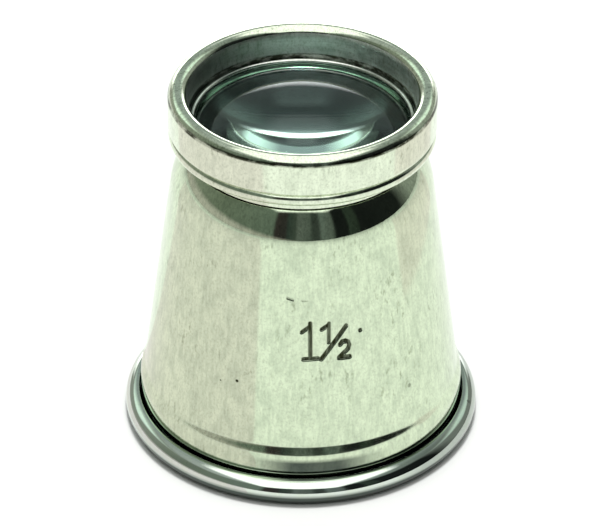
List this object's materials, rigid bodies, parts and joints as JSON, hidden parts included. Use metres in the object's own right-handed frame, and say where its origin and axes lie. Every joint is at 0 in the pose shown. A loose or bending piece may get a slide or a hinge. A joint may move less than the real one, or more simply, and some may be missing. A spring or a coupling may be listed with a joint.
{
  "type": "watchmaker loupe",
  "caption": "Cone-shaped aluminium eye loupe: a cup with a rolled eye rim and a rounded shoulder, and a lens cell that screws into its neck and holds a convex glass lens.",
  "frame": {"origin": "centre of the eye rim, on the plane where the loupe stands", "axes": "+Z along the optical axis, from the eye towards the lens; the ring's split faces -Y"},
  "size_m": [0.0368, 0.0368, 0.039],
  "materials": {
    "cup_aluminium": "spun, dull satin with fine pits, polished on the rolled rim and the shoulder",
    "collar_aluminium": "turned",
    "cell_aluminium": "turned, worn polish",
    "lens_glass": "polished crown glass",
    "ring_steel": "bright spring steel"
  },
  "bodies": {
    "eye_cup": {"eye_cup_shell": "cup_aluminium", "threaded_collar": "collar_aluminium"},
    "lens": {"lens": "lens_glass"},
    "cell": {"lens_cell": "cell_aluminium"},
    "ring": {"retaining_ring": "ring_steel"}
  },
  "joints": [
    {"name": "cell_rise", "type": "slide", "parent": "eye_cup", "child": "lens", "axis": [0, 0, 1], "range_m": [0, 0.003]},
    {"name": "cell_turn", "type": "hinge", "parent": "lens", "child": "cell", "pos_m": [0, 0, 0.033], "axis": [0, 0, 1], "range_deg": [0, 1080]},
    {"name": "ring_lift", "type": "slide", "parent": "cell", "child": "ring", "axis": [0, 0, 1], "range_m": [0, 0.005]}
  ],
  "couplings": [
    {"joint": "cell_rise", "follows": "cell_turn", "m_per_rad": 0.00015915}
  ]
}
